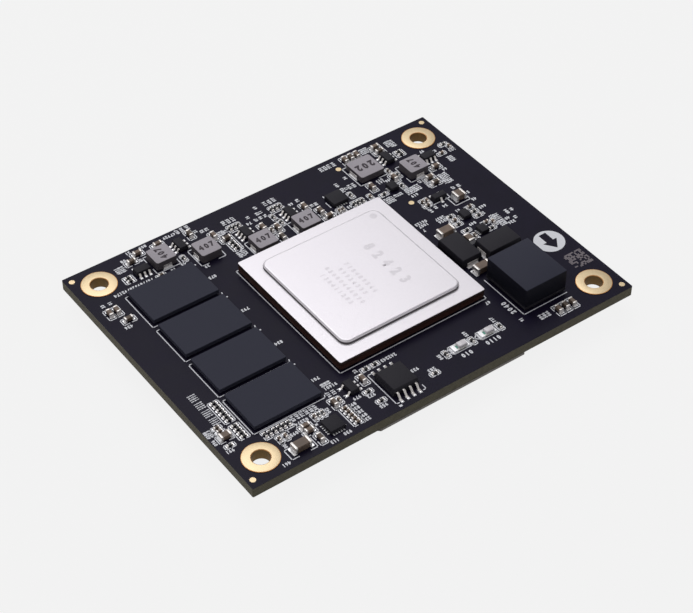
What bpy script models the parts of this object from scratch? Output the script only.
"""System on module: a processor board that plugs onto a carrier by four connectors under it.

The frame stands on the connectors' mating faces at z = 0, with +X along the board's long
side and +Z out of its top. Every place on the board is measured from an edge or from the
centre lines, and every height from the board's two faces.
"""

import bmesh
import bpy
from math import cos, radians, sin
from mathutils import Matrix, Vector

MM = 0.001

# Board
BOARD_LENGTH = 80.0 * MM
BOARD_WIDTH = 60.0 * MM
BOARD_THICKNESS = 2.0 * MM
BOARD_CORNER = 0.6 * MM
SOLDER = 0.1 * MM  # solder between a pad and what stands on it
SINK = 0.3 * MM  # how far a fused piece reaches into its carrier

# Plated mounting holes
HOLE_RADIUS = 1.6 * MM
HOLE_INSET = 4.8 * MM
PAD_RADIUS = 3.25 * MM
PLATING = 0.1 * MM
PLATING_CLEARANCE = 0.05 * MM
ROUND_SIDES = 20

# Board connectors, of 60 contacts a side
CONNECTOR_LENGTH = 31.7 * MM
CONNECTOR_WIDTH = 5.0 * MM
CONNECTOR_HEIGHT = 3.2 * MM
CONNECTOR_INSET = 2.05 * MM
CONNECTOR_OFFSET = 1.65 * MM
CONNECTOR_SIDE_WALL = 0.75 * MM
CONNECTOR_END_WALL = 1.3 * MM
TONGUE_WIDTH = 1.3 * MM
TONGUE_SETBACK = 0.25 * MM
SLOT_DEPTH = 2.3 * MM
TAIL_LEDGE_DEPTH = 0.45 * MM
TAIL_LEDGE_HEIGHT = 0.5 * MM
KEY_CHAMFER = 0.9 * MM

# Processor package
PACKAGE_CENTRE = (1.7 * MM, -1.7 * MM)
PACKAGE_SIDE = 31.0 * MM
PACKAGE_BALL_HEIGHT = 0.45 * MM
BALL_RADIUS = 0.3 * MM
BALL_PITCH = 1.0 * MM
SUBSTRATE_THICKNESS = 0.95 * MM
SUBSTRATE_CORNER = 0.4 * MM
LID_SETBACK = 0.05 * MM
LID_CORNER = 0.35 * MM
LID_SEAL = 0.1 * MM
LID_FLANGE = 0.62 * MM
LID_PLATEAU_RISE = 0.7 * MM
LID_BORDER = 2.75 * MM
LID_PLATEAU_CORNER = 1.7 * MM
LID_EDGE_ROUND = 0.22 * MM
LID_RIM = 3.6 * MM
DIE_LENGTH = 15.0 * MM
DIE_WIDTH = 13.0 * MM
DIE_THICKNESS = 0.75 * MM
THERMAL_LAYER = 0.1 * MM

# Memory chips
MEMORY_LENGTH = 13.3 * MM
MEMORY_WIDTH = 9.0 * MM
MEMORY_HEIGHT = 0.8 * MM
MEMORY_BALL_HEIGHT = 0.32 * MM
MEMORY_FROM_LEFT = 13.8 * MM
MEMORY_PITCH = 10.25 * MM
MEMORY_COUNT = 4
MEMORY_FROM_CENTRE = -0.1 * MM

# Moulded inductors
INDUCTOR_SIDE = 4.15 * MM
INDUCTOR_HEIGHT = 1.8 * MM
WIDE_INDUCTOR_SIDE = 5.25 * MM
WIDE_INDUCTOR_HEIGHT = 1.4 * MM
INDUCTOR_CORNER = 0.35 * MM
CLIP_WIDTH = 0.45  # share of the inductor's side
CLIP_HEIGHT = 0.8 * MM
CLIP_PROUD = 0.12 * MM

# Power module
POWER_LENGTH = 10.7 * MM
POWER_WIDTH = 9.2 * MM
POWER_HEIGHT = 4.5 * MM
POWER_BALL_HEIGHT = 0.5 * MM
POWER_SUBSTRATE = 0.5 * MM
POWER_SETBACK = 0.06 * MM
POWER_FOOT = 0.9 * MM
POWER_FOOT_PITCH = 1.9 * MM
POWER_FEET = 5

# Polymer capacitors
POLYMER_LENGTH = 7.3 * MM
POLYMER_WIDTH = 4.3 * MM
POLYMER_HEIGHT = 1.8 * MM
POLYMER_TAB = 2.4 * MM

# Gull-wing packages: body length along the pins, body width, height, span over the feet,
# pin pitch, pin width
SMALL_OUTLINE = dict(length=2.9 * MM, width=1.6 * MM, height=1.05 * MM, span=2.8 * MM,
                     pitch=0.95 * MM, pin=0.4 * MM)
THREE_PIN = dict(length=2.9 * MM, width=1.3 * MM, height=1.0 * MM, span=2.4 * MM,
                 pitch=0.95 * MM, pin=0.42 * MM)
FLASH_OUTLINE = dict(length=5.2 * MM, width=5.2 * MM, height=1.7 * MM, span=8.1 * MM,
                     pitch=1.27 * MM, pin=0.42 * MM)
PIN_THICKNESS = 0.15 * MM
PIN_FOOT = 0.35  # share of the reach that lies flat
PIN_SHOULDER = 0.2  # share of the reach that stands level
MOULD_DRAFT = 0.1 * MM

# Leadless chips: side along X, side along Y
FLAT_CHIP_HEIGHT = 0.8 * MM
CONTROLLER_SIDE = 3.0 * MM
SWITCH_SIDE = 3.2 * MM
TINY_CHIP_LENGTH = 2.0 * MM
TINY_CHIP_WIDTH = 1.7 * MM

# Indicator lamps
LAMP_LENGTH = 3.2 * MM
LAMP_WIDTH = 1.4 * MM
LAMP_BASE = 0.35 * MM
LAMP_LENS_LENGTH = 2.0 * MM
LAMP_LENS_HEIGHT = 0.6 * MM

# Chip capacitors and resistors: length, width, height, length of an end cap
CERAMIC_LARGE = (3.2 * MM, 1.7 * MM, 1.3 * MM, 0.45 * MM)
CERAMIC_WIDE = (2.0 * MM, 1.9 * MM, 1.2 * MM, 0.4 * MM)
CERAMIC_MEDIUM = (2.0 * MM, 1.25 * MM, 0.85 * MM, 0.4 * MM)
CERAMIC_SMALL = (1.6 * MM, 0.8 * MM, 0.8 * MM, 0.32 * MM)
CERAMIC_TINY = (1.0 * MM, 0.5 * MM, 0.5 * MM, 0.22 * MM)
RESISTOR_TINY = (1.0 * MM, 0.5 * MM, 0.35 * MM, 0.2 * MM)
END_CAP_PROUD = 0.02 * MM
ROW_PITCH = 0.92 * MM

# Capacitors under the processor
UNDERSIDE_ROWS = 5
UNDERSIDE_COLUMNS = 6
UNDERSIDE_PITCH_X = 2.6 * MM
UNDERSIDE_PITCH_Y = 3.0 * MM

BOARD_BOTTOM = CONNECTOR_HEIGHT + SOLDER
BOARD_TOP = BOARD_BOTTOM + BOARD_THICKNESS
PLATE_TOP = BOARD_TOP + SOLDER

BOARD_SURFACES = ("mask", "ceramic", "tinned", "resistor")

EDGE_X = {"left": -BOARD_LENGTH / 2, "centre": 0.0, "right": BOARD_LENGTH / 2}
EDGE_X["package"] = PACKAGE_CENTRE[0] + PACKAGE_SIDE / 2
EDGE_Y = {"front": -BOARD_WIDTH / 2, "centre": 0.0, "back": BOARD_WIDTH / 2}
EDGE_Y["package"] = PACKAGE_CENTRE[1]


def spot(side, end, x, y):
    """A place, in millimetres from the board's edges or centre lines, or the package's side."""
    return EDGE_X[side] + x * MM, EDGE_Y[end] + y * MM


def clear_scene():
    for obj in list(bpy.data.objects):
        bpy.data.objects.remove(obj, do_unlink=True)


def new_collection(name):
    collection = bpy.data.collections.new(name)
    bpy.context.scene.collection.children.link(collection)
    return collection


def material(name, colour, roughness, metallic=0.0):
    mat = bpy.data.materials.new(name)
    mat.use_nodes = True
    shader = mat.node_tree.nodes["Principled BSDF"]
    shader.inputs["Base Color"].default_value = (*colour, 1.0)
    shader.inputs["Roughness"].default_value = roughness
    shader.inputs["Metallic"].default_value = metallic
    mat.diffuse_color = (*colour, 1.0)
    return mat


def finish(name, bm, materials, collection):
    """Turn a bmesh into an object, smooth where its faces nearly line up."""
    bmesh.ops.recalc_face_normals(bm, faces=bm.faces)
    mesh = bpy.data.meshes.new(name)
    bm.to_mesh(mesh)
    bm.free()
    for mat in materials:
        mesh.materials.append(mat)
    mesh.shade_smooth()
    mesh.set_sharp_from_angle(angle=radians(35))
    obj = bpy.data.objects.new(name, mesh)
    collection.objects.link(obj)
    return obj


def helper(name, bm, materials=()):
    """An object that only cuts or joins, left out of the model."""
    obj = finish(name, bm, materials, CUTTERS)
    obj.hide_render = True
    obj.display_type = "WIRE"
    return obj


def boolean(obj, other, operation, crossing=False):
    """Join or cut. The other object's own pieces may be crossing one another."""
    modifier = obj.modifiers.new(other.name, "BOOLEAN")
    modifier.use_self = crossing
    modifier.operation = operation
    modifier.solver = "EXACT"
    modifier.object = other


def evaluated_mesh(obj, name):
    """The object's mesh with its modifiers applied."""
    bpy.context.view_layer.update()
    graph = bpy.context.evaluated_depsgraph_get()
    mesh = bpy.data.meshes.new_from_object(obj.evaluated_get(graph))
    mesh.name = name
    return mesh


def add_block(bm, size, centre, slot=0, turn=0.0):
    """A box of this size about its centre, turned about Z. Returns its vertices."""
    place = Matrix.Translation(centre) @ Matrix.Rotation(turn, 4, "Z")
    verts = bmesh.ops.create_cube(bm, size=1.0, matrix=place @ Matrix.Diagonal((*size, 1.0)))["verts"]
    for face in {face for vert in verts for face in vert.link_faces}:
        face.material_index = slot
    return verts


def upright_edges(verts):
    """The edges of a block that run up it."""
    edges = {edge for vert in verts for edge in vert.link_edges}
    return [e for e in edges if abs((e.verts[0].co - e.verts[1].co).normalized().z) > 0.9]


def rim_edges(bm, height):
    """The edges that lie all the way round at one height."""
    return [e for e in bm.edges if all(abs(v.co.z - height) < 1e-7 for v in e.verts)]


def round_edges(bm, edges, radius, segments):
    bmesh.ops.bevel(bm, geom=edges, offset=radius, segments=segments, profile=0.5, affect="EDGES")


def rounded_plate(bm, length, width, low, high, corner, centre=(0.0, 0.0), segments=3):
    """A flat piece between two heights, with its four upright edges rounded."""
    verts = add_block(bm, (length, width, high - low), (*centre, (low + high) / 2))
    round_edges(bm, upright_edges(verts), corner, segments)


def moulded_block(bm, length, width, low, high, parting, draft=MOULD_DRAFT):
    """A moulded body whose walls lean in above and below its parting line."""
    verts = add_block(bm, (length, width, high - low), (0.0, 0.0, (low + high) / 2))
    faces = {face for vert in verts for face in vert.link_faces}
    edges = {edge for face in faces for edge in face.edges}
    bmesh.ops.bisect_plane(
        bm, geom=list(verts) + list(edges) + list(faces),
        plane_co=(0.0, 0.0, parting), plane_no=(0.0, 0.0, 1.0),
    )
    for vert in bm.verts:
        if abs(vert.co.z - parting) > 1e-7:
            vert.co.x -= draft if vert.co.x > 0 else -draft
            vert.co.y -= draft if vert.co.y > 0 else -draft


def pin_outline(reach, rise):
    """A gull-wing pin from the side, as (outwards, upwards), from inside the body to its toe."""
    shoulder = PIN_SHOULDER * reach
    heel = reach - PIN_FOOT * reach
    lean = 0.7 * PIN_THICKNESS
    return [
        (-SINK, rise), (shoulder, rise), (heel, 0.0), (reach, 0.0),
        (reach, PIN_THICKNESS), (heel + lean, PIN_THICKNESS),
        (shoulder + lean, rise + PIN_THICKNESS), (-SINK, rise + PIN_THICKNESS),
    ]


def add_prism(bm, outline, width, place, slot=0):
    """A flat outline in the YZ plane made this wide along X."""
    verts = [bm.verts.new(place @ Vector((-width / 2, y, z))) for y, z in outline]
    face = bm.faces.new(verts)
    grown = bmesh.ops.extrude_face_region(bm, geom=[face])["geom"]
    moved = [item for item in grown if isinstance(item, bmesh.types.BMVert)]
    bmesh.ops.translate(bm, verts=moved, vec=place.to_3x3() @ Vector((width, 0.0, 0.0)))
    for new_face in {f for vert in verts + moved for f in vert.link_faces}:
        new_face.material_index = slot


def pin_places(count, pitch):
    """Pin centres along a body's side; two pins stand where three would have their outer ones."""
    step = 2 * pitch if count == 2 else pitch
    return [(i - (count - 1) / 2) * step for i in range(count)]


def gull_wing_chip(name, shape, near_pins, far_pins, place, turn=0.0):
    """A moulded chip with its pins formed down to the board on its two long sides."""
    body = bmesh.new()
    parting = 0.5 * (shape["height"] + PIN_THICKNESS)
    moulded_block(body, shape["length"], shape["width"], SOLDER, shape["height"], parting)
    pins = bmesh.new()
    reach = (shape["span"] - shape["width"]) / 2
    outline = pin_outline(reach, parting - PIN_THICKNESS / 2)
    for count, facing in ((near_pins, radians(180)), (far_pins, 0.0)):
        for x in pin_places(count, shape["pitch"]):
            side = Matrix.Rotation(facing, 4, "Z")
            where = Matrix.Translation((x, 0.0, 0.0)) @ side
            where = where @ Matrix.Translation((0.0, shape["width"] / 2, 0.0))
            add_prism(pins, outline, shape["pin"], where, slot=1)
    materials = (MOULD_BLACK, TINNED)
    core = helper(name + "_body", body, materials)
    boolean(core, helper(name + "_pins", pins, materials), "UNION")
    chip = bpy.data.objects.new(name, evaluated_mesh(core, name))
    PARTS.objects.link(chip)
    chip.location = (*place, BOARD_TOP)
    chip.rotation_euler.z = turn
    return chip


def make_board():
    bm = bmesh.new()
    rounded_plate(bm, BOARD_LENGTH, BOARD_WIDTH, BOARD_BOTTOM, BOARD_TOP, BOARD_CORNER)
    board = finish("circuit_board", bm, BOARD_MATERIALS, PARTS)
    holes = bmesh.new()
    for x, y in HOLE_PLACES:
        bmesh.ops.create_cone(
            holes, cap_ends=True, segments=ROUND_SIDES,
            radius1=HOLE_RADIUS + PLATING + PLATING_CLEARANCE,
            radius2=HOLE_RADIUS + PLATING + PLATING_CLEARANCE,
            depth=3 * BOARD_THICKNESS,
            matrix=Matrix.Translation((x, y, (BOARD_BOTTOM + BOARD_TOP) / 2)),
        )
    boolean(board, helper("board_holes", holes), "DIFFERENCE")
    return board


def add_chip_part(bm, kind, place, along_y, surface, base=BOARD_TOP, facing=1):
    """A chip capacitor or resistor: a block whose two ends are tinned."""
    length, width, height, cap = kind
    turn = radians(90) if along_y else 0.0
    outwards = Vector((cos(turn), sin(turn), 0.0))
    middle = Vector((*place, base + facing * (height - SINK) / 2))
    slot = BOARD_SURFACES.index(surface)
    verts = add_block(bm, (length, width, height + SINK), middle, slot, turn)
    faces = {face for vert in verts for face in vert.link_faces}
    for end in (-1, 1):
        edges = {edge for face in faces for edge in face.edges}
        cut = middle + end * (length / 2 - cap) * outwards
        made = bmesh.ops.bisect_plane(
            bm, geom=list(faces) + list(edges) + list({v for face in faces for v in face.verts}),
            plane_co=cut, plane_no=end * outwards,
        )["geom"]
        faces = {item for item in made if isinstance(item, bmesh.types.BMFace)}
        for face in faces:
            if (face.calc_center_median() - cut).dot(end * outwards) > 0:
                face.material_index = BOARD_SURFACES.index("tinned")


def fuse_chip_parts(board):
    """The small capacitors and resistors, joined to the board that they are soldered to."""
    bm = bmesh.new()
    for kind, along_y, surface, places in CHIP_PARTS:
        for place in places:
            add_chip_part(bm, kind, spot(*place), along_y, surface)
    for kind, surface, place, count, step, along_y in CHIP_ROWS:
        first = spot(*place)
        for i in range(count):
            place = (first[0] + i * step[0] * ROW_PITCH, first[1] + i * step[1] * ROW_PITCH)
            add_chip_part(bm, kind, place, along_y, surface)
    for row in range(UNDERSIDE_ROWS):
        for column in range(UNDERSIDE_COLUMNS):
            x = PACKAGE_CENTRE[0] + (column - (UNDERSIDE_COLUMNS - 1) / 2) * UNDERSIDE_PITCH_X
            y = PACKAGE_CENTRE[1] + (row - (UNDERSIDE_ROWS - 1) / 2) * UNDERSIDE_PITCH_Y
            add_chip_part(bm, CERAMIC_TINY, (x, y), False, "ceramic", BOARD_BOTTOM, facing=-1)
    boolean(board, helper("chip_parts", bm, BOARD_MATERIALS), "UNION", crossing=True)


def make_mounting_pads():
    """A plated eyelet in each corner hole: a barrel with a ring on both faces of the board."""
    barrel = HOLE_RADIUS + PLATING
    low, high = BOARD_BOTTOM - PLATING, BOARD_TOP + PLATING
    outline = [
        (HOLE_RADIUS, high), (PAD_RADIUS, high), (PAD_RADIUS, BOARD_TOP), (barrel, BOARD_TOP),
        (barrel, BOARD_BOTTOM), (PAD_RADIUS, BOARD_BOTTOM), (PAD_RADIUS, low), (HOLE_RADIUS, low),
    ]
    bm = bmesh.new()
    verts = [bm.verts.new((r, 0.0, z)) for r, z in outline]
    for i, vert in enumerate(verts):
        bm.edges.new((vert, verts[(i + 1) % len(verts)]))
    mesh = bpy.data.meshes.new("mounting_pad")
    bm.to_mesh(mesh)
    bm.free()
    mesh.materials.append(GOLD)
    for number, (x, y) in enumerate(HOLE_PLACES, 1):
        pad = bpy.data.objects.new(f"mounting_pad_{number}", mesh)
        PARTS.objects.link(pad)
        pad.location = (x, y, 0.0)
        turned = pad.modifiers.new("turned", "SCREW")
        turned.steps = turned.render_steps = ROUND_SIDES
        turned.use_merge_vertices = True
        turned.merge_threshold = 1e-6


def make_connectors():
    """Four sockets under the board: an open trough round a tongue, ledges for the tails."""
    bm = bmesh.new()
    verts = add_block(
        bm, (CONNECTOR_LENGTH, CONNECTOR_WIDTH, CONNECTOR_HEIGHT), (0.0, 0.0, CONNECTOR_HEIGHT / 2)
    )
    keyed = [e for e in upright_edges(verts) if e.verts[0].co.x < 0]
    round_edges(bm, keyed, KEY_CHAMFER, 1)
    housing = helper("socket_housing", bm, (CONNECTOR_PLASTIC,))

    trough = bmesh.new()
    trough_length = CONNECTOR_LENGTH - 2 * CONNECTOR_END_WALL
    trough_width = CONNECTOR_WIDTH - 2 * CONNECTOR_SIDE_WALL
    add_block(trough, (trough_length, trough_width, 2 * SLOT_DEPTH), (0.0, 0.0, 0.0))
    boolean(housing, helper("socket_trough", trough), "DIFFERENCE")

    ledges = bmesh.new()
    for side in (-1, 1):
        add_block(
            ledges,
            (trough_length, 2 * TAIL_LEDGE_DEPTH, 2 * TAIL_LEDGE_HEIGHT),
            (0.0, side * CONNECTOR_WIDTH / 2, CONNECTOR_HEIGHT),
        )
    boolean(housing, helper("socket_ledges", ledges), "DIFFERENCE")

    tongue = bmesh.new()
    tip = TONGUE_SETBACK
    add_block(
        tongue,
        (trough_length - 2 * TONGUE_WIDTH, TONGUE_WIDTH, SLOT_DEPTH + SINK - tip),
        (0.0, 0.0, (SLOT_DEPTH + SINK + tip) / 2),
    )
    round_edges(tongue, rim_edges(tongue, tip), TONGUE_WIDTH / 5, 1)
    boolean(housing, helper("socket_tongue", tongue), "UNION")

    mesh = evaluated_mesh(housing, "board_socket")
    inset = CONNECTOR_INSET + CONNECTOR_WIDTH / 2
    places = {
        "connector_front": ((CONNECTOR_OFFSET, EDGE_Y["front"] + inset), 0),
        "connector_back": ((CONNECTOR_OFFSET, EDGE_Y["back"] - inset), 180),
        "connector_left": ((EDGE_X["left"] + inset, 0.0), 90),
        "connector_right": ((EDGE_X["right"] - inset, 0.0), 270),
    }
    for name, (place, turn) in places.items():
        socket = bpy.data.objects.new(name, mesh)
        PARTS.objects.link(socket)
        socket.location = (*place, 0.0)
        socket.rotation_euler.z = radians(turn)


def make_processor():
    """The package, from the board up: balls under a substrate, a die, and a lid over it."""
    low = BOARD_TOP + PACKAGE_BALL_HEIGHT
    high = low + SUBSTRATE_THICKNESS
    bm = bmesh.new()
    rounded_plate(bm, PACKAGE_SIDE, PACKAGE_SIDE, low, high, SUBSTRATE_CORNER,
                  PACKAGE_CENTRE, segments=1)
    substrate = finish("processor_substrate", bm, (LAMINATE, SOLDER_GREY), PARTS)
    boolean(substrate, helper("processor_balls", ball_ring(low), (LAMINATE, SOLDER_GREY)), "UNION")

    bm = bmesh.new()
    die_top = high + DIE_THICKNESS
    add_block(bm, (DIE_LENGTH, DIE_WIDTH, DIE_THICKNESS), (*PACKAGE_CENTRE, (high + die_top) / 2))
    finish("processor_die", bm, (SILICON,), PARTS)

    bm = bmesh.new()
    ceiling = die_top + THERMAL_LAYER
    add_block(bm, (DIE_LENGTH, DIE_WIDTH, THERMAL_LAYER), (*PACKAGE_CENTRE, (die_top + ceiling) / 2))
    finish("thermal_layer", bm, (THERMAL_PASTE,), PARTS)

    lid_side = PACKAGE_SIDE - 2 * LID_SETBACK
    inner_side = lid_side - 2 * LID_RIM
    foot = high + LID_SEAL
    make_seal(lid_side, inner_side, high, foot)
    make_lid(lid_side, inner_side, foot, ceiling)


def ball_ring(substrate_low):
    """The outermost row of solder balls, flattened on the board and on the substrate."""
    bm = bmesh.new()
    count = int(PACKAGE_SIDE / BALL_PITCH) - 1
    edge = (count - 1) / 2 * BALL_PITCH
    places = []
    for i in range(count - 1):
        run = i * BALL_PITCH - edge
        places += [(run, -edge), (edge, run), (-run, edge), (-edge, -run)]
    depth = PACKAGE_BALL_HEIGHT + SINK
    for x, y in places:
        centre = (PACKAGE_CENTRE[0] + x, PACKAGE_CENTRE[1] + y, substrate_low + SINK - depth / 2)
        made = bmesh.ops.create_cone(
            bm, cap_ends=True, segments=6, radius1=0.75 * BALL_RADIUS, radius2=BALL_RADIUS,
            depth=depth, matrix=Matrix.Translation(centre),
        )
        for face in {face for vert in made["verts"] for face in vert.link_faces}:
            face.material_index = 1
    return bm


def make_seal(lid_side, inner_side, low, high):
    """The adhesive frame that holds the lid's rim down on the substrate."""
    margin = LID_RIM / 6
    bm = bmesh.new()
    rounded_plate(bm, lid_side - 2 * margin, lid_side - 2 * margin, low, high, LID_CORNER,
                  PACKAGE_CENTRE, segments=1)
    seal = finish("lid_seal", bm, (THERMAL_PASTE,), PARTS)
    opening = bmesh.new()
    add_block(opening, (inner_side + 2 * margin, inner_side + 2 * margin, 4 * LID_SEAL),
              (*PACKAGE_CENTRE, (low + high) / 2))
    boolean(seal, helper("seal_opening", opening), "DIFFERENCE")


def make_lid(lid_side, inner_side, foot, ceiling):
    """The stepped metal lid: a flange, a raised plateau, and a hollow that clears the die."""
    flange_top = foot + LID_FLANGE
    top = flange_top + LID_PLATEAU_RISE
    bm = bmesh.new()
    rounded_plate(bm, lid_side, lid_side, foot, flange_top, LID_CORNER, PACKAGE_CENTRE)
    round_edges(bm, rim_edges(bm, flange_top), LID_EDGE_ROUND / 2, 1)
    lid = finish("processor_lid", bm, (NICKEL,), PARTS)
    plateau = bmesh.new()
    plateau_side = lid_side - 2 * LID_BORDER
    rounded_plate(plateau, plateau_side, plateau_side, flange_top - SINK, top,
                  LID_PLATEAU_CORNER, PACKAGE_CENTRE, segments=4)
    round_edges(plateau, rim_edges(plateau, top), LID_EDGE_ROUND, 2)
    boolean(lid, helper("lid_plateau", plateau, (NICKEL,)), "UNION")
    hollow = bmesh.new()
    rounded_plate(hollow, inner_side, inner_side, foot - SINK, ceiling, LID_CORNER, PACKAGE_CENTRE)
    boolean(lid, helper("lid_hollow", hollow), "DIFFERENCE")


def make_memory():
    low = BOARD_TOP + MEMORY_BALL_HEIGHT
    bm = bmesh.new()
    rounded_plate(bm, MEMORY_LENGTH, MEMORY_WIDTH, low, low + MEMORY_HEIGHT, SOLDER, segments=1)
    round_edges(bm, rim_edges(bm, low + MEMORY_HEIGHT), SOLDER / 2, 1)
    first = finish("memory_chip_1", bm, (MOULD_CHARCOAL,), PARTS)
    for number in range(1, MEMORY_COUNT + 1):
        chip = first if number == 1 else bpy.data.objects.new(f"memory_chip_{number}", first.data)
        if number > 1:
            PARTS.objects.link(chip)
        row = (MEMORY_COUNT + 1) / 2 - number
        chip.location = (EDGE_X["left"] + MEMORY_FROM_LEFT, MEMORY_FROM_CENTRE + row * MEMORY_PITCH, 0.0)


def inductor(name, side, height, place, along_y):
    """A pressed body with cut corners, and a clip bent up on the two ends."""
    bm = bmesh.new()
    verts = add_block(bm, (side, side, height - SOLDER), (0.0, 0.0, (height + SOLDER) / 2))
    round_edges(bm, upright_edges(verts), INDUCTOR_CORNER, 1)
    round_edges(bm, rim_edges(bm, height), INDUCTOR_CORNER / 4, 1)
    core = helper(name + "_core", bm, (PRESSED_GREY, TINNED))
    clips = bmesh.new()
    size = (side + 2 * CLIP_PROUD, CLIP_WIDTH * side, CLIP_HEIGHT)
    add_block(clips, size, (0.0, 0.0, CLIP_HEIGHT / 2), 1)
    boolean(core, helper(name + "_clips", clips, (PRESSED_GREY, TINNED)), "UNION")
    coil = bpy.data.objects.new(name, evaluated_mesh(core, name))
    PARTS.objects.link(coil)
    coil.location = (*place, BOARD_TOP)
    coil.rotation_euler.z = radians(90) if along_y else 0.0


def make_power_module():
    """A tall moulded block on a slightly wider substrate, which stands on two rows of feet."""
    place = spot("right", "front", *POWER_PLACE)
    bm = bmesh.new()
    add_block(bm, (POWER_WIDTH, POWER_LENGTH, POWER_SUBSTRATE), (0.0, 0.0, POWER_SUBSTRATE / 2))
    module = finish("power_module", bm, (MOULD_CHARCOAL, SOLDER_GREY), PARTS)
    feet = bmesh.new()
    for x in pin_places(POWER_FEET, POWER_FOOT_PITCH):
        for end in (-1, 1):
            y = end * (POWER_LENGTH / 2 - POWER_FOOT)
            size = (POWER_FOOT, POWER_FOOT, POWER_BALL_HEIGHT + POWER_SUBSTRATE / 2)
            add_block(feet, size, (x, y, POWER_SUBSTRATE / 2 - size[2] / 2), 1)
    block = bmesh.new()
    size = (POWER_WIDTH - 2 * POWER_SETBACK, POWER_LENGTH - 2 * POWER_SETBACK)
    rounded_plate(block, *size, POWER_SUBSTRATE - SINK, POWER_HEIGHT, POWER_SETBACK, segments=1)
    round_edges(block, rim_edges(block, POWER_HEIGHT), POWER_SETBACK, 1)
    for other in (helper("power_block", block, (MOULD_CHARCOAL,)),
                  helper("power_feet", feet, (MOULD_CHARCOAL, SOLDER_GREY))):
        other.location = (*place, BOARD_TOP + POWER_BALL_HEIGHT)
        boolean(module, other, "UNION")
    module.location = (*place, BOARD_TOP + POWER_BALL_HEIGHT)


def polymer_capacitor(name, place, along_y):
    """A moulded block with a flat tab folded round each end."""
    bm = bmesh.new()
    moulded_block(bm, POLYMER_LENGTH, POLYMER_WIDTH, SOLDER, POLYMER_HEIGHT, POLYMER_HEIGHT / 2,
                  draft=1.5 * MOULD_DRAFT)
    core = helper(name + "_core", bm, (MOULD_BLACK, TINNED))
    tabs = bmesh.new()
    for end in (-1, 1):
        size = (POLYMER_LENGTH / 4, POLYMER_TAB, POLYMER_HEIGHT / 2)
        x = end * (POLYMER_LENGTH / 2 + PIN_THICKNESS - size[0] / 2)
        add_block(tabs, size, (x, 0.0, size[2] / 2), 1)
    boolean(core, helper(name + "_tabs", tabs, (MOULD_BLACK, TINNED)), "UNION")
    part = bpy.data.objects.new(name, evaluated_mesh(core, name))
    PARTS.objects.link(part)
    part.location = (*place, BOARD_TOP)
    part.rotation_euler.z = radians(90) if along_y else 0.0


def large_ceramic(name, kind, place, along_y=False):
    length, width, height, cap = kind
    bodies, ends = bmesh.new(), bmesh.new()
    proud = END_CAP_PROUD
    add_block(bodies, (length - cap, width - 2 * proud, height - 2 * proud), (0.0, 0.0, height / 2))
    for side in (-1, 1):
        add_block(ends, (cap, width, height), (side * (length - cap) / 2, 0.0, height / 2), 1)
    core = helper(name + "_body", bodies, (CERAMIC, TINNED))
    boolean(core, helper(name + "_caps", ends, (CERAMIC, TINNED)), "UNION")
    part = bpy.data.objects.new(name, evaluated_mesh(core, name))
    PARTS.objects.link(part)
    part.location = (*place, PLATE_TOP)
    part.rotation_euler.z = radians(90) if along_y else 0.0


def flat_chip(name, length, width, place):
    """A leadless chip that lies on pads under its edges."""
    bm = bmesh.new()
    low, high = PLATE_TOP, PLATE_TOP + FLAT_CHIP_HEIGHT
    rounded_plate(bm, length, width, low, high, SOLDER, place, segments=1)
    finish(name, bm, (MOULD_BLACK,), PARTS)


def lamp(name, place):
    """A lamp: a thin base with its terminals, and a clear moulded lens on it."""
    bm = bmesh.new()
    add_block(bm, (LAMP_LENGTH, LAMP_WIDTH, LAMP_BASE), (0.0, 0.0, LAMP_BASE / 2), 0)
    core = helper(name + "_base", bm, (LAMP_WHITE, CLEAR_RESIN))
    lens = bmesh.new()
    top = LAMP_BASE + LAMP_LENS_HEIGHT
    size = (LAMP_LENS_LENGTH, LAMP_WIDTH - 4 * END_CAP_PROUD, LAMP_LENS_HEIGHT + LAMP_BASE / 2)
    add_block(lens, size, (0.0, 0.0, top - size[2] / 2), 1)
    round_edges(lens, rim_edges(lens, top), LAMP_LENS_HEIGHT / 3, 2)
    boolean(core, helper(name + "_lens", lens, (LAMP_WHITE, CLEAR_RESIN)), "UNION")
    part = bpy.data.objects.new(name, evaluated_mesh(core, name))
    PARTS.objects.link(part)
    part.location = (*place, PLATE_TOP)


HOLE_PLACES = [
    (sx * (BOARD_LENGTH / 2 - HOLE_INSET), sy * (BOARD_WIDTH / 2 - HOLE_INSET))
    for sx, sy in ((-1, -1), (1, -1), (1, 1), (-1, 1))
]

# Places are in millimetres from the named edges: X grows to the right, Y to the back
INDUCTOR_PLACES = (
    ("left", "back", 16.95, -5.9, True),
    ("left", "back", 24.5, -8.95, False),
    ("centre", "back", -6.15, -13.15, False),
    ("centre", "back", 3.15, -13.2, False),
    ("right", "back", -11.5, -12.05, True),
)
WIDE_INDUCTOR_PLACE = ("right", "back", -19.0, -6.95)
REGULATOR_PLACES = (
    ("left", "back", 12.6, -6.4, 0),
    ("left", "back", 21.6, -4.65, 90),
    ("centre", "back", -7.0, -8.85, 90),
    ("centre", "back", 2.55, -8.95, 90),
    ("right", "back", -13.6, -6.5, 90),
    ("right", "back", -7.1, -10.7, 0),
)
POWER_PLACE = (-15.0, 11.25)

# From the package's right side and its centre line
POLYMER_PLACES = ((3.7, -3.75, True), (10.5, -6.15, False))
RESERVOIR_PLACES = ((4.9, 1.8), (4.2, -9.5))


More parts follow.
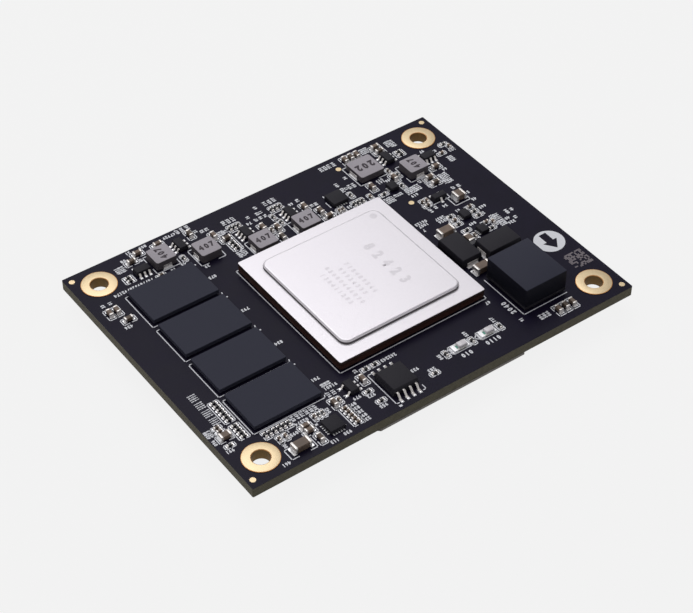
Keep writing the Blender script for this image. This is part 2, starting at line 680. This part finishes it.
# kind, along Y, surface, places
CHIP_PARTS = (
    (CERAMIC_SMALL, False, "ceramic", (
        ("left", "back", 12.3, -3.25), ("left", "back", 14.3, -1.95), ("left", "back", 18.5, -2.0),
        ("left", "back", 29.4, -7.9), ("centre", "back", 7.95, -13.65),
        ("right", "back", -13.4, -2.4), ("right", "back", -13.4, -3.9),
        ("right", "back", -7.6, -13.7), ("right", "back", -10.5, -15.6),
        ("right", "back", -10.5, -17.4), ("left", "front", 14.3, 6.0),
        ("left", "front", 14.3, 4.85), ("left", "back", 4.3, -15.6),
    )),
    (CERAMIC_SMALL, True, "ceramic", (
        ("left", "back", 24.7, -3.0), ("left", "back", 27.95, -5.9),
        ("centre", "back", -3.6, -9.2), ("centre", "back", -1.4, -10.8),
        ("centre", "back", -2.2, -13.5), ("centre", "back", 5.8, -8.9),
        ("centre", "back", 7.5, -11.6), ("right", "back", -20.25, -2.3),
        ("right", "back", -18.9, -2.3), ("right", "back", -17.55, -2.3),
        ("right", "back", -20.8, -11.6), ("right", "back", -15.8, -11.8),
        ("left", "front", 14.85, 2.5), ("left", "front", 21.15, 7.5),
        ("left", "front", 28.15, 9.2), ("right", "front", -14.5, 2.95),
        ("right", "front", -12.95, 2.95), ("right", "front", -11.4, 2.95),
        ("left", "back", 2.35, -12.6), ("left", "back", 3.8, -12.6),
    )),
    (CERAMIC_MEDIUM, False, "ceramic", (("left", "centre", 2.6, -18.2),)),
    (CERAMIC_MEDIUM, True, "ceramic", (("right", "centre", -15.5, -3.6),)),
    (CERAMIC_TINY, False, "ceramic", (
        ("left", "back", 14.8, -9.25), ("left", "centre", 2.5, -16.7),
        ("left", "centre", 2.5, -15.8), ("right", "back", -4.1, -11.1),
        ("right", "centre", -15.6, 8.3), ("right", "centre", -14.3, 2.1),
        ("right", "centre", -9.7, 3.5), ("right", "centre", -10.0, -1.6),
    )),
    (CERAMIC_TINY, True, "ceramic", (
        ("centre", "back", -2.6, -10.7), ("centre", "back", 10.4, -13.6),
        ("centre", "back", 11.15, -13.6), ("centre", "back", 17.4, -13.6),
        ("right", "back", -15.5, -9.6), ("right", "back", -1.6, -10.3),
        ("left", "front", 9.4, 6.2), ("left", "front", 10.6, 6.2),
        ("left", "front", 16.8, 6.9), ("left", "front", 22.3, 7.7),
        ("right", "centre", -15.85, 9.4), ("right", "centre", -14.9, 9.4),
        ("right", "centre", -13.9, -3.4), ("right", "centre", -8.8, -2.3),
    )),
    (RESISTOR_TINY, False, "resistor", (
        ("right", "back", -2.2, -9.1), ("right", "back", -20.2, -14.4),
        ("right", "centre", -14.3, 3.4), ("right", "centre", -14.4, 0.9),
        ("right", "centre", -9.8, 2.1), ("right", "centre", -9.8, 0.8),
        ("right", "centre", -14.2, -1.3), ("right", "centre", -10.1, -3.4),
        ("left", "centre", 2.2, -20.2), ("left", "front", 27.25, 6.5),
        ("centre", "front", -10.0, 11.0), ("centre", "front", -8.1, 11.0),
        ("left", "front", 27.8, 3.6), ("centre", "front", -1.2, 3.4),
    )),
    (RESISTOR_TINY, True, "resistor", (
        ("left", "back", 20.45, -7.7), ("centre", "back", -0.35, -7.8),
        ("centre", "back", 0.05, -9.8), ("centre", "back", 14.75, -11.0),
        ("right", "back", -15.9, -14.4), ("right", "back", -14.6, -11.4),
        ("centre", "front", 3.1, 5.8), ("centre", "front", 8.75, 5.8),
        ("centre", "front", 14.75, 5.8), ("left", "front", 17.6, 6.9),
        ("left", "front", 18.4, 6.9),
    )),
)

# kind, surface, first place, count, step direction, along Y
CHIP_ROWS = (
    (RESISTOR_TINY, "resistor", ("left", "centre", 5.15, -10.85), 6, (0, -1), False),
    (RESISTOR_TINY, "resistor", ("left", "centre", 5.15, -17.05), 4, (0, -1), False),
    (RESISTOR_TINY, "resistor", ("left", "front", 8.05, 8.3), 6, (1, 0), True),
    (RESISTOR_TINY, "resistor", ("left", "back", 9.65, -6.4), 2, (0, -1), False),
    (RESISTOR_TINY, "resistor", ("left", "back", 29.7, -9.2), 3, (0, -1), False),
    (RESISTOR_TINY, "resistor", ("centre", "back", -8.5, -5.95), 3, (1, 0), True),
    (RESISTOR_TINY, "resistor", ("centre", "back", 0.6, -5.9), 3, (1, 0), True),
    (RESISTOR_TINY, "resistor", ("centre", "back", 13.75, -13.6), 3, (1, 0), True),
    (RESISTOR_TINY, "resistor", ("right", "back", -10.5, -5.9), 2, (0, -1), False),
    (CERAMIC_TINY, "ceramic", ("left", "front", 21.8, 5.6), 5, (0, -1), False),
)

clear_scene()
PARTS = new_collection("system_on_module")
CUTTERS = new_collection("cutters")

SOLDER_MASK = material("solder_mask", (0.021, 0.019, 0.028), 0.55)
CERAMIC = material("capacitor_ceramic", (0.30, 0.23, 0.18), 0.5)
TINNED = material("tinned_metal", (0.75, 0.74, 0.72), 0.35, 1.0)
RESISTOR_BLACK = material("resistor_black", (0.02, 0.02, 0.022), 0.45)
GOLD = material("gold_plating", (0.83, 0.60, 0.33), 0.3, 1.0)
CONNECTOR_PLASTIC = material("connector_plastic", (0.03, 0.028, 0.026), 0.5)
LAMINATE = material("package_laminate", (0.045, 0.024, 0.018), 0.5)
SOLDER_GREY = material("solder", (0.6, 0.6, 0.6), 0.4, 1.0)
SILICON = material("silicon", (0.12, 0.12, 0.14), 0.15)
THERMAL_PASTE = material("grey_compound", (0.35, 0.36, 0.37), 0.8)
NICKEL = material("satin_nickel", (0.80, 0.79, 0.80), 0.35, 1.0)
MOULD_CHARCOAL = material("charcoal_mould", (0.043, 0.042, 0.05), 0.6)
MOULD_BLACK = material("black_mould", (0.02, 0.02, 0.023), 0.5)
PRESSED_GREY = material("pressed_powder", (0.27, 0.24, 0.25), 0.6)
LAMP_WHITE = material("lamp_base", (0.75, 0.78, 0.74), 0.5)
CLEAR_RESIN = material("clear_resin", (0.88, 0.86, 0.90), 0.2)
BOARD_MATERIALS = (SOLDER_MASK, CERAMIC, TINNED, RESISTOR_BLACK)

board_object = make_board()
fuse_chip_parts(board_object)
make_mounting_pads()
make_connectors()
make_processor()
make_memory()
make_power_module()

for number, (side, end, x, y, along_y) in enumerate(INDUCTOR_PLACES, 1):
    inductor(f"inductor_{number}", INDUCTOR_SIDE, INDUCTOR_HEIGHT, spot(side, end, x, y), along_y)
inductor("wide_inductor", WIDE_INDUCTOR_SIDE, WIDE_INDUCTOR_HEIGHT, spot(*WIDE_INDUCTOR_PLACE), False)

for number, (side, end, x, y, turn) in enumerate(REGULATOR_PLACES, 1):
    gull_wing_chip(f"regulator_{number}", SMALL_OUTLINE, 3, 3, spot(side, end, x, y), radians(turn))
gull_wing_chip("supervisor_chip", SMALL_OUTLINE, 3, 2, spot("left", "front", 25.3, 8.7), radians(90))
gull_wing_chip("switch_transistor", THREE_PIN, 1, 2, spot("right", "centre", -12.65, 8.85))
gull_wing_chip("flash_memory", FLASH_OUTLINE, 4, 4, spot("centre", "front", -7.6, 5.5))

for number, (x, y, along_y) in enumerate(POLYMER_PLACES, 1):
    polymer_capacitor(f"polymer_capacitor_{number}", spot("package", "package", x, y), along_y)

for number, (x, y) in enumerate(RESERVOIR_PLACES, 1):
    large_ceramic(f"ceramic_capacitor_{number}", CERAMIC_LARGE, spot("package", "package", x, y))
large_ceramic("ceramic_capacitor_3", CERAMIC_LARGE, spot("left", "front", 11.2, 2.75))
large_ceramic("ceramic_capacitor_4", CERAMIC_WIDE, spot("right", "centre", -9.55, 6.85))

flat_chip("controller_chip", CONTROLLER_SIDE, CONTROLLER_SIDE, spot("left", "front", 18.1, 3.6))
flat_chip("power_switch", SWITCH_SIDE, SWITCH_SIDE, spot("centre", "back", 11.75, -10.6))
flat_chip("level_shifter_1", TINY_CHIP_WIDTH, TINY_CHIP_LENGTH, spot("right", "centre", -11.9, 2.1))
flat_chip("level_shifter_2", TINY_CHIP_WIDTH, TINY_CHIP_LENGTH, spot("right", "centre", -11.9, -3.0))
flat_chip("level_shifter_3", TINY_CHIP_WIDTH, TINY_CHIP_LENGTH, spot("right", "back", -17.8, -13.8))

lamp("lamp_1", spot("centre", "front", 6.05, 5.85))
lamp("lamp_2", spot("centre", "front", 11.95, 5.85))
